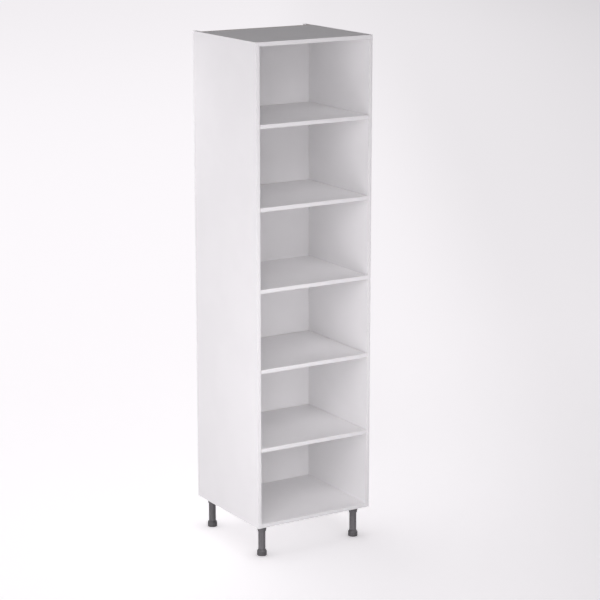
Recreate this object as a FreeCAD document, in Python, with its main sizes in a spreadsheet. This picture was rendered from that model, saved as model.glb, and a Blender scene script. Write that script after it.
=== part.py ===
import FreeCAD, Part
import os
import re

from FreeCAD import Placement, Rotation, Vector
from Sketcher import Constraint

# Tall kitchen cabinet: a white board carcass with an open front, five shelves and four screw legs.
# Frame: origin on the floor under the middle of the carcass, +X to the right, front towards -Y, +Z up.
# All sizes are in millimetres.

SIZES = {
    # Carcass
    "carcass_width": 600,
    "carcass_depth": 560,
    "carcass_height": 2200,
    "leg_height": 150,
    "board_thickness": 18,
    "edging_thickness": 1,
    # Back panel and its grooves
    "back_thickness": 8,
    "service_void": 46,
    "groove_depth": 9,
    "groove_play": 0.2,
    "back_edge_play": 0.5,
    # Loose shelves and their pins
    "shelf_side_gap": 1,
    "shelf_back_gap": 2,
    "pin_diameter": 5,
    "pin_grip": 10,
    "pin_end_gap": 1,
    "pin_front_inset": 37,
    "pin_rear_inset": 53,
    "tongue_length": 9,
    "tongue_width": 8,
    "tongue_thickness": 3.5,
    "tongue_cover": 0.5,
    # Drilled fits, as a gap all round
    "drill_play": 0.05,
    # Cam fittings of the fixed boards
    "cam_front_inset": 130,
    "cam_rear_inset": 130,
    "cam_setback": 34,
    "cam_diameter": 15,
    "cam_height": 12.5,
    "cam_roof_gap": 0.8,
    "driver_slot_length": 9,
    "driver_slot_width": 1.6,
    "driver_slot_depth": 2,
    "bolt_bore": 8,
    "bolt_thread_diameter": 6,
    "bolt_thread_length": 11,
    "bolt_end_gap": 1,
    "bolt_shank_diameter": 7,
    "bolt_neck_diameter": 4.5,
    "bolt_neck_length": 5,
    "bolt_head_length": 3,
    "cap_diameter": 18,
    "cap_thickness": 1.2,
    # Wooden dowels beside the cam fittings
    "dowel_offset": 32,
    "dowel_diameter": 8,
    "dowel_side_grip": 10,
    "dowel_board_grip": 20,
    "dowel_end_gap": 1,
    # Screws
    "screw_diameter": 3.5,
    "screw_head_diameter": 7,
    "screw_head_height": 2.4,
    "screw_tip_gap": 1,
    "back_screw_grip": 22,
    "back_screw_inset": 60,
    "leg_screw_grip": 12,
    # Holes for a door's hinge plates
    "hinge_hole_diameter": 5,
    "hinge_hole_depth": 12,
    "hinge_hole_spacing": 32,
    "hinge_hole_inset": 37,
    "hinge_end_inset": 110,
    # Leg places and sockets
    "leg_side_inset": 52,
    "leg_front_inset": 57,
    "leg_rear_inset": 41,
    "flange_diameter": 76,
    "flange_thickness": 4,
    "flange_screw_spacing": 42,
    "socket_height": 34,
    "collar_top_diameter": 48,
    "collar_rim_diameter": 38,
    "gusset_thickness": 2.5,
    "gusset_margin": 4,
    # Leg tubes
    "spigot_diameter": 30,
    "spigot_play": 0.1,
    "spigot_end_gap": 0.5,
    "tube_diameter": 33,
    "tube_bore": 26,
    "nut_length": 42,
    "flute_radius": 2,
    "flute_depth": 0.8,
    "flute_margin": 8,
    # Screw feet
    "foot_diameter": 45,
    "foot_height": 30,
    "foot_rim_height": 22,
    "foot_chamfer": 1.5,
    "stem_diameter": 20,
    "stem_length": 60,
    "stem_chamfer": 2,
    "thread_play": 0.1,
    "thread_pitch": 5,
    "thread_depth": 1.2,
}

# Counts
COMPARTMENTS = 6
FIXED_SHELF = COMPARTMENTS // 2
LOOSE_SHELVES = [number for number in range(1, COMPARTMENTS) if number != FIXED_SHELF]
HINGES = 4
GUSSETS = 4
FLANGE_SCREWS = 4
FLUTES = 12

# Places that several pieces share, as formulas of the sizes and of each other.
PLACES = {
    "front": "-carcass_depth / 2",
    "rear": "carcass_depth / 2",
    "board_front": "front + edging_thickness",
    "side_outer": "carcass_width / 2",
    "side_inner": "side_outer - board_thickness",
    "underside": "leg_height",
    "carcass_top": "leg_height + carcass_height",
    "back_rear": "rear - service_void",
    "back_front": "back_rear - back_thickness",
    "groove_front": "back_front - groove_play",
    "groove_width": "back_thickness + 2 * groove_play",
    "groove_floor": "underside + board_thickness - groove_depth",
    "shelf_pitch": f"carcass_height / {COMPARTMENTS}",
    "half_board": "board_thickness / 2",
    "loose_half_width": "side_inner - shelf_side_gap",
    "loose_rear": "back_front - shelf_back_gap",
    "cam_front": "front + cam_front_inset",
    "cam_rear": "back_front - cam_rear_inset",
    "dowel_front": "cam_front + dowel_offset",
    "dowel_rear": "cam_rear - dowel_offset",
    "bolt_reach": "cam_setback + bolt_head_length / 2",
    "screw_hole": "screw_diameter + 2 * drill_play",
    "socket_bore": "spigot_diameter / 2 + spigot_play",
    "hinge_pitch": f"(carcass_height - 2 * hinge_end_inset) / {HINGES - 1}",
    "leg_x": "side_outer - leg_side_inset",
    "stem_bore": "stem_diameter / 2 + thread_play",
    "tube_foot": "foot_height - leg_height",
}

SIDES = {"left": -1, "right": 1}
CAM_ROWS = ("cam_front", "cam_rear")
DOWEL_ROWS = ("dowel_front", "dowel_rear")
PIN_ROWS = ("front + pin_front_inset", "back_front - pin_rear_inset")
LEG_ROWS = {"front": "front + leg_front_inset", "rear": "rear - leg_rear_inset"}
FIXED_BOARDS = {
    "top_panel": ("carcass_top - half_board", "back_front"),
    "fixed_shelf": (f"underside + {FIXED_SHELF} * shelf_pitch", "back_front"),
    "bottom_panel": ("underside + half_board", "rear"),
}
# The two boards whose undersides face into the cabinet, and to which the back is screwed.
CAPPED_BOARDS = ("top_panel", "fixed_shelf")

POINTING = {
    "+X": Rotation(Vector(0, 1, 0), 90),
    "-X": Rotation(Vector(0, 1, 0), -90),
    "+Y": Rotation(Vector(1, 0, 0), -90),
    "-Y": Rotation(Vector(1, 0, 0), 90),
    "+Z": Rotation(),
    "-Z": Rotation(Vector(1, 0, 0), 180),
}

doc = FreeCAD.newDocument("tall_cabinet")
sheet = doc.addObject("Spreadsheet::Sheet", "sizes")
for row, (alias, value) in enumerate(SIZES.items(), start=1):
    sheet.set(f"A{row}", alias)
    sheet.set(f"B{row}", str(value))
    sheet.setAlias(f"B{row}", alias)
doc.recompute()

pieces = []


def formula(text):
    """The text with every size as a cell of the sheet and every place written out."""
    def spell(match):
        word = match.group(0)
        if word in PLACES:
            return f"({formula(PLACES[word])})"
        if word in SIZES:
            return f"sizes.{word}"
        return word
    return re.sub(r"[a-z][a-z_]*", spell, str(text))


def value(text):
    """What a formula comes to, as a plain number."""
    return float(sheet.evalExpression(formula(text)))


def bind(item, **bindings):
    """Tie properties to formulas; a double underscore stands for a dot in the property's path."""
    for path, text in bindings.items():
        item.setExpression(path.replace("__", "."), formula(text))


def put(item, x, y, z):
    bind(item, Placement__Base__x=x, Placement__Base__y=y, Placement__Base__z=z)


def piece(item):
    """Count an object among the sub-parts that are written out."""
    pieces.append(item)
    return item


def block(label, corner, length, width, height):
    item = doc.addObject("Part::Box", label)
    bind(item, Length=length, Width=width, Height=height)
    put(item, *corner)
    return item


def rod(label, start, pointing, diameter, length):
    """A cylinder from the start point, along one of the six directions."""
    item = doc.addObject("Part::Cylinder", label)
    item.Placement = Placement(Vector(), POINTING[pointing])
    bind(item, Radius=f"({diameter}) / 2", Height=length)
    put(item, *start)
    return item


def joined(label, shapes):
    item = doc.addObject("Part::MultiFuse", label)
    item.Shapes = shapes
    return item


def cut(label, base, tools):
    item = doc.addObject("Part::Cut", label)
    item.Base = base
    item.Tool = tools[0] if len(tools) == 1 else joined(f"{label}_cutters", tools)
    return item


def group(label, members):
    """Identical small pieces as one sub-part of separate solids."""
    item = doc.addObject("Part::Compound", label)
    item.Links = members
    return piece(item)


def towards(hand, outward):
    """The X direction out of the cabinet, or into it, on the left or right side."""
    return "+X" if (hand > 0) == outward else "-X"


def shelf_underside(number):
    return f"underside + {number} * shelf_pitch - half_board"


def joints():
    """Each end of each fixed board: its name, hand, the inner face's place and the board's mid height."""
    for board, (middle, _) in FIXED_BOARDS.items():
        for side, hand in SIDES.items():
            yield f"{board}_{side}", hand, f"{hand} * side_inner", middle


def pin_places(number):
    """Each pin of a loose shelf: its hand, its row and the height of its axis."""
    height = f"{shelf_underside(number)} - tongue_cover - pin_diameter / 2"
    for hand in SIDES.values():
        for row in PIN_ROWS:
            yield hand, row, height


# Boards

def side_drillings(side, hand):
    """Blind holes in a side's inner face, for bolts, dowels, shelf pins and, on the left, hinge plates."""
    face = f"{hand} * side_inner"
    outward = towards(hand, True)
    holes = []

    def drill(row, height, diameter, depth):
        name = f"{side}_side_hole_{len(holes) + 1}"
        holes.append(rod(name, (face, row, height), outward, diameter, depth))

    for middle, _ in FIXED_BOARDS.values():
        for row in CAM_ROWS:
            drill(row, middle, "bolt_thread_diameter + 2 * drill_play", "bolt_thread_length + bolt_end_gap")
        for row in DOWEL_ROWS:
            drill(row, middle, "dowel_diameter + 2 * drill_play", "dowel_side_grip + dowel_end_gap")
    for number in LOOSE_SHELVES:
        for pin_hand, row, height in pin_places(number):
            if pin_hand == hand:
                drill(row, height, "pin_diameter + 2 * drill_play", "pin_grip + pin_end_gap")
    if side == "left":
        for hinge in range(HINGES):
            centre = f"underside + hinge_end_inset + {hinge} * hinge_pitch"
            for half in (-1, 1):
                height = f"{centre} + {half} * hinge_hole_spacing / 2"
                drill("front + hinge_hole_inset", height, "hinge_hole_diameter", "hinge_hole_depth")
    return holes


def make_side(side, hand):
    near = "side_inner" if hand > 0 else "-side_outer"
    board = block(f"{side}_side_board", (near, "board_front", "underside"),
                  "board_thickness", "rear - board_front", "carcass_height")
    groove_x = "side_inner" if hand > 0 else "-side_inner - groove_depth"
    groove = block(f"{side}_side_groove", (groove_x, "groove_front", "underside"),
                   "groove_depth", "groove_width", "carcass_height")
    piece(cut(f"{side}_side_panel", board, [groove] + side_drillings(side, hand)))
    piece(block(f"{side}_side_edging", (near, "front", "underside"),
                "board_thickness", "edging_thickness", "carcass_height"))


def end_drillings(board, middle):
    """Bores in a fixed board's ends and cam pockets in its underside."""
    holes = []
    for side, hand in SIDES.items():
        end = f"{hand} * side_inner"
        inward = towards(hand, False)
        for row in CAM_ROWS:
            name = f"{board}_{side}_{row}"
            holes.append(rod(f"{name}_bore", (end, row, middle), inward,
                             "bolt_bore", "cam_setback + bolt_head_length"))
            cam_x = f"{hand} * (side_inner - cam_setback)"
            holes.append(rod(f"{name}_pocket", (cam_x, row, f"{middle} - half_board"), "+Z",
                             "cam_diameter", "cam_height + cam_roof_gap"))
        for row in DOWEL_ROWS:
            holes.append(rod(f"{board}_{side}_{row}_bore", (end, row, middle), inward,
                             "dowel_diameter + 2 * drill_play", "dowel_board_grip + dowel_end_gap"))
    return holes


def back_screw_places():
    for board in CAPPED_BOARDS:
        middle = FIXED_BOARDS[board][0]
        for column in (-1, 0, 1):
            yield board, f"{column} * (side_inner - back_screw_inset)", middle


def leg_places():
    for row, y in LEG_ROWS.items():
        for side, hand in SIDES.items():
            yield f"{row}_{side}", f"{hand} * leg_x", y


def leg_screw_places():
    for _, x, y in leg_places():
        for across in (-1, 1):
            for along in (-1, 1):
                yield (f"{x} + {across} * flange_screw_spacing / 2",
                       f"{y} + {along} * flange_screw_spacing / 2")


def make_fixed_board(board):
    middle, back_edge = FIXED_BOARDS[board]
    blank = block(f"{board}_board", ("-side_inner", "board_front", f"{middle} - half_board"),
                  "2 * side_inner", f"{back_edge} - board_front", "board_thickness")
    cutters = end_drillings(board, middle)
    if board in CAPPED_BOARDS:
        for screwed, x, z in back_screw_places():
            if screwed == board:
                cutters.append(rod(f"{board}_pilot_{len(cutters)}", (x, "back_front", z), "-Y",
                                   "screw_hole", "back_screw_grip + screw_tip_gap"))
    else:
        cutters.append(block("bottom_groove", ("-side_inner", "groove_front", "groove_floor"),
                             "2 * side_inner", "groove_width", "groove_depth"))
        for x, y in leg_screw_places():
            cutters.append(rod(f"bottom_pilot_{len(cutters)}", (x, y, "underside"), "+Z",
                               "screw_hole", "leg_screw_grip + screw_tip_gap"))
    piece(cut(board, blank, cutters))
    name = board.replace("_panel", "")
    piece(block(f"{name}_edging", ("-side_inner", "front", f"{middle} - half_board"),
                "2 * side_inner", "edging_thickness", "board_thickness"))


def make_loose_shelf(number):
    low = shelf_underside(number)
    piece(block(f"shelf_{number}", ("-loose_half_width", "board_front", low),
                "2 * loose_half_width", "loose_rear - board_front", "board_thickness"))
    piece(block(f"shelf_{number}_edging", ("-loose_half_width", "front", low),
                "2 * loose_half_width", "edging_thickness", "board_thickness"))


def make_back():
    half_width = "(side_inner + groove_depth - back_edge_play)"
    blank = block("back_board", (f"-{half_width}", "back_front", "groove_floor"),
                  f"2 * {half_width}", "back_thickness", "carcass_top - groove_floor")
    holes = []
    for _, x, z in back_screw_places():
        holes.append(rod(f"back_hole_{len(holes) + 1}", (x, "back_rear", z), "-Y",
                         "screw_hole", "back_thickness"))
    piece(cut("back_panel", blank, holes))


# Fittings

def make_pins(number):
    """Four pins: a round shank in the side and a flat tongue that the shelf lies on."""
    pins = []
    for hand, row, height in pin_places(number):
        name = f"shelf_{number}_pin_{len(pins) + 1}"
        tip = f"{hand} * (side_inner + pin_grip)"
        shank = rod(f"{name}_shank", (tip, row, height), towards(hand, False),
                    "pin_diameter", "pin_grip + tongue_length")
        near = "side_inner - tongue_length" if hand > 0 else "-side_inner"
        tongue = block(f"{name}_tongue",
                       (near, f"{row} - tongue_width / 2", f"{shelf_underside(number)} - tongue_thickness"),
                       "tongue_length", "tongue_width", "tongue_thickness")
        pins.append(joined(name, [shank, tongue]))
    group(f"shelf_{number}_pins", pins)


def make_cam_bolt(name, hand, face, row, middle):
    """A turned bolt: thread in the side, then shank, neck and head in the board's bore."""
    inward = towards(hand, False)
    shank_length = "(bolt_reach - bolt_head_length - bolt_neck_length)"
    neck_x = f"{face} - {hand} * {shank_length}"
    head_x = f"{neck_x} - {hand} * bolt_neck_length"
    steps = [
        rod(f"{name}_thread", (face, row, middle), towards(hand, True),
            "bolt_thread_diameter", "bolt_thread_length"),
        rod(f"{name}_shank", (face, row, middle), inward, "bolt_shank_diameter", shank_length),
        rod(f"{name}_neck", (neck_x, row, middle), inward, "bolt_neck_diameter", "bolt_neck_length"),
        rod(f"{name}_head", (head_x, row, middle), inward, "bolt_shank_diameter", "bolt_head_length"),
    ]
    return joined(name, steps)


def make_cam_disc(name, hand, face, row, middle):
    """A round cam in the board's underside, open towards its bolt, with a crossed driver slot."""
    x = f"{face} - {hand} * cam_setback"
    low = f"{middle} - half_board"
    disc = rod(f"{name}_round", (x, row, low), "+Z", "cam_diameter - 2 * drill_play", "cam_height")
    channel = rod(f"{name}_channel", (face, row, middle), towards(hand, False),
                  "bolt_bore", "cam_setback + bolt_head_length")
    half_length = "driver_slot_length / 2"
    half_width = "driver_slot_width / 2"
    slots = [
        block(f"{name}_slot_across", (f"{x} - {half_length}", f"{row} - {half_width}", low),
              "driver_slot_length", "driver_slot_width", "driver_slot_depth"),
        block(f"{name}_slot_along", (f"{x} - {half_width}", f"{row} - {half_length}", low),
              "driver_slot_width", "driver_slot_length", "driver_slot_depth"),
    ]
    return cut(name, disc, [channel] + slots)


def make_joint_fittings():
    bolts = []
    discs = []
    dowels = []
    caps = []
    for name, hand, face, middle in joints():
        for row in CAM_ROWS:
            bolts.append(make_cam_bolt(f"{name}_{row}_bolt", hand, face, row, middle))
            discs.append(make_cam_disc(f"{name}_{row}_disc", hand, face, row, middle))
            if name.startswith(CAPPED_BOARDS):
                cap_x = f"{face} - {hand} * cam_setback"
                caps.append(rod(f"{name}_{row}_cap", (cap_x, row, f"{middle} - half_board"), "-Z",
                                "cap_diameter", "cap_thickness"))
        for row in DOWEL_ROWS:
            start = f"{face} + {hand} * dowel_side_grip"
            dowels.append(rod(f"{name}_{row}_dowel", (start, row, middle), towards(hand, False),
                              "dowel_diameter", "dowel_side_grip + dowel_board_grip"))
    group("cam_bolts", bolts)
    group("cam_discs", discs)
    group("cam_caps", caps)
    group("dowels", dowels)


def make_screw(name, seat, pointing, opposite, length):
    """A pan-head screw whose head lies on the seat."""
    shank = rod(f"{name}_shank", seat, pointing, "screw_diameter", length)
    head = rod(f"{name}_head", seat, opposite, "screw_head_diameter", "screw_head_height")
    return joined(name, [shank, head])


def make_screws():
    back_screws = []
    for _, x, z in back_screw_places():
        back_screws.append(make_screw(f"back_screw_{len(back_screws) + 1}", (x, "back_rear", z),
                                      "-Y", "+Y", "back_thickness + back_screw_grip"))
    leg_screws = []
    for x, y in leg_screw_places():
        leg_screws.append(make_screw(f"leg_screw_{len(leg_screws) + 1}",
                                     (x, y, "underside - flange_thickness"),
                                     "+Z", "-Z", "flange_thickness + leg_screw_grip"))
    group("back_screws", back_screws)
    group("leg_screws", leg_screws)


# Legs: moulded pieces, each turned from an outline about the leg's own axis

def origin_feature(body, role):
    return next(item for item in body.Origin.OriginFeatures if item.Role == role)


def sketch_on(body, name, role):
    sketch = body.newObject("Sketcher::SketchObject", name)
    sketch.AttachmentSupport = (origin_feature(body, role), [""])
    sketch.MapMode = "FlatFace"
    return sketch


def hold(sketch, geometry, point, x, y, name):
    """Fix a point of a sketch at formulas of the sizes, measured from the sketch's origin."""
    for kind, axis, text in (("DistanceX", "across", x), ("DistanceY", "up", y)):
        index = sketch.addConstraint(Constraint(kind, -1, 1, geometry, point, value(text)))
        sketch.renameConstraint(index, f"{name}_{axis}")
        sketch.setExpression(f"Constraints.{name}_{axis}", formula(text))


def outline(sketch, corners):
    """A closed outline of straight lines through corners given as pairs of formulas."""
    count = len(corners)
    points = [Vector(value(x), value(y), 0) for x, y in corners]
    for corner in range(count):
        sketch.addGeometry(Part.LineSegment(points[corner], points[(corner + 1) % count]))
    for corner in range(count):
        sketch.addConstraint(Constraint("Coincident", corner, 2, (corner + 1) % count, 1))
    for corner, (x, y) in enumerate(corners):
        hold(sketch, corner, 1, x, y, f"corner_{corner}")


def ring(sketch, x, y, radius):
    """A circle at a place given as formulas."""
    centre = Vector(value(x), value(y), 0)
    circle = sketch.addGeometry(Part.Circle(centre, Vector(0, 0, 1), value(radius)))
    index = sketch.addConstraint(Constraint("Radius", circle, value(radius)))
    sketch.renameConstraint(index, "ring_radius")
    sketch.setExpression("Constraints.ring_radius", formula(radius))
    hold(sketch, circle, 3, x, y, "ring")


def turned(body, name, corners, feature="PartDesign::Revolution"):
    """Turn an outline of (radius, height) corners about the body's upright axis."""
    sketch = sketch_on(body, f"{name}_outline", "XZ_Plane")
    outline(sketch, corners)
    item = body.newObject(feature, name)
    item.Profile = sketch
    item.ReferenceAxis = (sketch, ["V_Axis"])
    item.Angle = 360
    body.Tip = item
    doc.recompute()
    return item


def around(body, name, feature, count):
    """Repeat a feature evenly about the body's upright axis."""
    pattern = body.newObject("PartDesign::PolarPattern", name)
    pattern.Originals = [feature]
    pattern.Axis = (origin_feature(body, "Z_Axis"), [""])
    pattern.Angle = 360
    pattern.Occurrences = count
    body.Tip = pattern
    doc.recompute()


def make_socket(leg, x, y):
    """Flange and tapered collar, with gussets between them; its frame is on the carcass underside."""
    name = f"{leg}_leg_socket"
    body = piece(doc.addObject("PartDesign::Body", name))
    turned(body, f"{name}_turned", [
        ("0", "0"),
        ("flange_diameter / 2", "0"),
        ("flange_diameter / 2", "-flange_thickness"),
        ("collar_top_diameter / 2", "-flange_thickness"),
        ("collar_rim_diameter / 2", "-socket_height"),
        ("socket_bore", "-socket_height"),
        ("socket_bore", "-flange_thickness"),
        ("0", "-flange_thickness"),
    ])
    gusset_foot = "(socket_bore + collar_rim_diameter / 2) / 2"
    sketch = sketch_on(body, f"{name}_gusset_outline", "XZ_Plane")
    outline(sketch, [
        (gusset_foot, "-flange_thickness / 2"),
        ("flange_diameter / 2 - gusset_margin", "-flange_thickness / 2"),
        ("flange_diameter / 2 - gusset_margin", "-flange_thickness"),
        (gusset_foot, "flange_thickness - socket_height"),
    ])
    gusset = body.newObject("PartDesign::Pad", f"{name}_gusset")
    gusset.Profile = sketch
    gusset.SideType = "Symmetric"
    bind(gusset, Length="gusset_thickness")
    body.Tip = gusset
    doc.recompute()
    around(body, f"{name}_gussets", gusset, GUSSETS)
    sketch = sketch_on(body, f"{name}_screw_hole_outline", "XY_Plane")
    ring(sketch, "flange_screw_spacing / 2", "flange_screw_spacing / 2", "screw_hole / 2")
    hole = body.newObject("PartDesign::Pocket", f"{name}_screw_hole")
    hole.Profile = sketch
    hole.Type = "ThroughAll"
    body.Tip = hole
    doc.recompute()
    around(body, f"{name}_screw_holes", hole, FLANGE_SCREWS)
    put(body, x, y, "underside")


def make_tube(leg, x, y):
    """Hollow tube with a spigot for the socket, a nut at its foot end and shallow flutes."""
    name = f"{leg}_leg_tube"
    body = piece(doc.addObject("PartDesign::Body", name))
    spigot_end = "-flange_thickness - spigot_end_gap"
    turned(body, f"{name}_turned", [
        ("stem_bore", "tube_foot"),
        ("tube_diameter / 2", "tube_foot"),
        ("tube_diameter / 2", "-socket_height"),
        ("spigot_diameter / 2", "-socket_height"),
        ("spigot_diameter / 2", spigot_end),
        ("tube_bore / 2", spigot_end),
        ("tube_bore / 2", "tube_foot + nut_length"),
        ("stem_bore", "tube_foot + nut_length"),
    ])
    sketch = sketch_on(body, f"{name}_flute_outline", "XY_Plane")
    bind(sketch, AttachmentOffset__Base__z="-socket_height - flute_margin")
    ring(sketch, "tube_diameter / 2 + flute_radius - flute_depth", "0", "flute_radius")
    flute = body.newObject("PartDesign::Pocket", f"{name}_flute")
    flute.Profile = sketch
    bind(flute, Length="-tube_foot - socket_height - 2 * flute_margin")
    body.Tip = flute
    doc.recompute()
    around(body, f"{name}_flutes", flute, FLUTES)
    put(body, x, y, "underside")


def make_foot(leg, x, y):
    """Round foot with a tapered shoulder and a threaded stem, its thread drawn as ring grooves."""
    name = f"{leg}_foot"
    body = piece(doc.addObject("PartDesign::Body", name))
    stem_top = "foot_height + stem_length"
    turned(body, f"{name}_turned", [
        ("0", "0"),
        ("foot_diameter / 2 - foot_chamfer", "0"),
        ("foot_diameter / 2", "foot_chamfer"),
        ("foot_diameter / 2", "foot_rim_height"),
        ("tube_diameter / 2", "foot_height"),
        ("stem_diameter / 2", "foot_height"),
        ("stem_diameter / 2", f"{stem_top} - stem_chamfer"),
        ("stem_diameter / 2 - stem_chamfer", stem_top),
        ("0", stem_top),
    ])
    groove = turned(body, f"{name}_thread", [
        ("stem_diameter / 2 + thread_depth", "foot_height + thread_pitch / 5"),
        ("stem_diameter / 2 + thread_depth", "foot_height + thread_pitch * 9 / 10"),
        ("stem_diameter / 2 - thread_depth", "foot_height + thread_pitch * 11 / 20"),
    ], "PartDesign::Groove")
    pattern = body.newObject("PartDesign::LinearPattern", f"{name}_threads")
    pattern.Originals = [groove]
    pattern.Direction = (origin_feature(body, "Z_Axis"), [""])
    pattern.Mode = "Spacing"
    bind(pattern, Offset="thread_pitch", Occurrences="floor((stem_length - stem_chamfer) / thread_pitch)")
    body.Tip = pattern
    put(body, x, y, "0")


for side_name, side_hand in SIDES.items():
    make_side(side_name, side_hand)
for board_name in FIXED_BOARDS:
    make_fixed_board(board_name)
for shelf_number in LOOSE_SHELVES:
    make_loose_shelf(shelf_number)
    make_pins(shelf_number)
make_back()
make_joint_fittings()
make_screws()
for leg_name, leg_across, leg_along in leg_places():
    make_socket(leg_name, leg_across, leg_along)
    make_tube(leg_name, leg_across, leg_along)
    make_foot(leg_name, leg_across, leg_along)
doc.recompute()

for item in doc.Objects:
    if "Invalid" in item.State or "Error" in item.State:
        raise RuntimeError(f"{item.Label} failed: {item.State}")
for item in pieces:
    if item.Shape.isNull() or not item.Shape.isValid():
        raise RuntimeError(f"{item.Label} has no valid shape")

os.makedirs("parts", exist_ok=True)
for item in pieces:
    item.Shape.exportStep(f"parts/{item.Label}.step")
    print(f"{item.Label}: {len(item.Shape.Solids)} solid(s), {item.Shape.Volume / 1000:.1f} cm3")
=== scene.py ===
import math

import bmesh
import bpy
from mathutils import Matrix, Vector


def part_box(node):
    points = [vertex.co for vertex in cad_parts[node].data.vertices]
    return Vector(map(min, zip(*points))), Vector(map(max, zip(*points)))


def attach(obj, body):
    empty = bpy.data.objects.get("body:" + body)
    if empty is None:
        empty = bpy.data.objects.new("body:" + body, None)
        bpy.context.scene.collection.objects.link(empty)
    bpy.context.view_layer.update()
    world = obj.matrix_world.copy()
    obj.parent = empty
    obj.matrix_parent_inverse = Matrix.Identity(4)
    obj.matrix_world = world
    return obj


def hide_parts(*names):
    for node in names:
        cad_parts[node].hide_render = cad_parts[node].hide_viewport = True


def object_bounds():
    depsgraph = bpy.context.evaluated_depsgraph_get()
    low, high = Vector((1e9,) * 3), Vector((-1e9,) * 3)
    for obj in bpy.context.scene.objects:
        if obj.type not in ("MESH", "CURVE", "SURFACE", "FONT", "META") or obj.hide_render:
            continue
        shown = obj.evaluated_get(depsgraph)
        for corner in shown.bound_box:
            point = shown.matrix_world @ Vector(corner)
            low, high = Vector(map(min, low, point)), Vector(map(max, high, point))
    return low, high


# Tall kitchen cabinet in white board: finishes, edging strips, legs and small fittings, in metres.

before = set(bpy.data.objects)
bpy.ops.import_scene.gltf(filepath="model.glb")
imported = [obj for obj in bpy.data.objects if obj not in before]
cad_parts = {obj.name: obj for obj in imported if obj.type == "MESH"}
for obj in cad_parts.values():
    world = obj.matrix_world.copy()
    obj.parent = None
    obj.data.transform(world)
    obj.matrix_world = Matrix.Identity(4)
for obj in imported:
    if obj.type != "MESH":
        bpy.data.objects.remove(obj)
cad_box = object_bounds()

MM = 0.001
X, Y, Z = range(3)
SHELVES = (1, 2, 4, 5)
LEGS = ("front_left", "front_right", "rear_left", "rear_right")

# Camera
CAMERA_PLACE = Vector((-4.811, -7.958, 3.343))
CAMERA_TURN = math.radians(31.65)
CAMERA_DIP = math.radians(13.43)
CAMERA_LENS = 124.6
CAMERA_SIGHT = 300.0

# Colours
BOARD_WHITE = (0.850, 0.846, 0.850)
BOARD_SHADE = (0.836, 0.832, 0.836)
EDGING_WHITE = (0.740, 0.736, 0.740)
EDGING_SHADE = (0.722, 0.718, 0.722)
GLUE_LINE = (0.420, 0.370, 0.300)
CHIP_DARK = (0.270, 0.180, 0.105)
CHIP_MIDDLE = (0.500, 0.370, 0.235)
CHIP_LIGHT = (0.690, 0.550, 0.390)
LEG_GREY = (0.114, 0.111, 0.116)
FOOT_GREY = (0.07068, 0.06882, 0.07192)
LEG_SCUFF = (0.190, 0.187, 0.192)
STEEL_BRIGHT = (0.700, 0.700, 0.710)
STEEL_DULL = (0.560, 0.560, 0.575)
ZINC_BRIGHT = (0.580, 0.580, 0.590)
ZINC_DULL = (0.400, 0.400, 0.410)
CAP_WHITE = (0.830, 0.820, 0.832)
CAP_SHADE = (0.790, 0.780, 0.792)
BEECH_LIGHT = (0.640, 0.450, 0.280)
BEECH_DARK = (0.480, 0.310, 0.170)
FLOOR_GREY = (0.800, 0.800, 0.800)

# Grain of the finishes, in waves or cells to the metre; three numbers are along X, Y and Z
BOARD_CLOUDS = 5.0
BOARD_PEARL = 1300.0
CHIPS = 330.0
CHIP_DUST = 1100.0
EDGING_CLOUDS = 9.0
EDGING_DRAW_LINES = (90.0, 900.0, 90.0)
LEG_CLOUDS = 60.0
LEG_GRAIN = 1600.0
LEG_RUBS = (260.0, 260.0, 60.0)
STEEL_PATCHES = 420.0
ZINC_PATCHES = 700.0
SKIN_TO_PATCHES = 9.0
CAP_CLOUDS = 140.0
CAP_SKIN = 2600.0
BEECH_GRAIN = (60.0, 1400.0, 1400.0)
BEECH_FLECKS = (500.0, 2600.0, 2600.0)

# Relief of the finishes
CHIP_RELIEF = 0.3 * MM
PEARL_TO_CHIPS = 0.12
EDGING_RELIEF = 0.02 * MM
LEG_RELIEF = 0.06 * MM
STEEL_RELIEF = 0.01 * MM
ZINC_RELIEF = 0.05 * MM
CAP_RELIEF = 0.03 * MM
BEECH_RELIEF = 0.08 * MM

# Where the finishes change: how square to its axis a face is, shares of thickness or height, and lengths
SQUARE_ON = 0.5
FACE_SKIN = 0.02
TOP_SKIN = 0.001
CHIP_CORE = (0.10, 0.22)
GLUE_BAND = (0.86 * MM, 0.94 * MM)
LEG_DUST_BAND = (2 * MM, 45 * MM)

# Tones between which the noise of a finish counts, and how far the finer noise moves it
BOARD_TONES = (0.35, 0.65)
DUST_TONES = (0.3, 0.8)
BEECH_TONES = (0.45, 0.85)
FLECK_STRENGTH = 0.3

# How rough the board is, raw and faced
RAW_ROUGHNESS = 0.85
FACED_ROUGHNESS = 0.51
PEARL_ROUGHNESS = 0.10

# How much of the leg is scuffed, and how far its grey wanders
SCUFF_ONSET = (0.60, 0.80)
SCUFF_STRENGTH = 0.45
FLOOR_SCUFF = 0.06
LEG_MOTTLE = 0.10

# Mesh making: crease angle, steps of a rounded corner, lengths that count as none, width of a groove
CREASE = math.radians(35)
ROUNDING_STEPS = 5
SAME_POINT = 0.001 * MM
HAIR = 0.01 * MM
SLIGHT = 0.1 * MM
GROOVE_SHARE = 0.3

# Edging strips
EDGING_ROUNDING = 0.6 * MM
LONG_EDGE = 100 * MM

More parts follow.
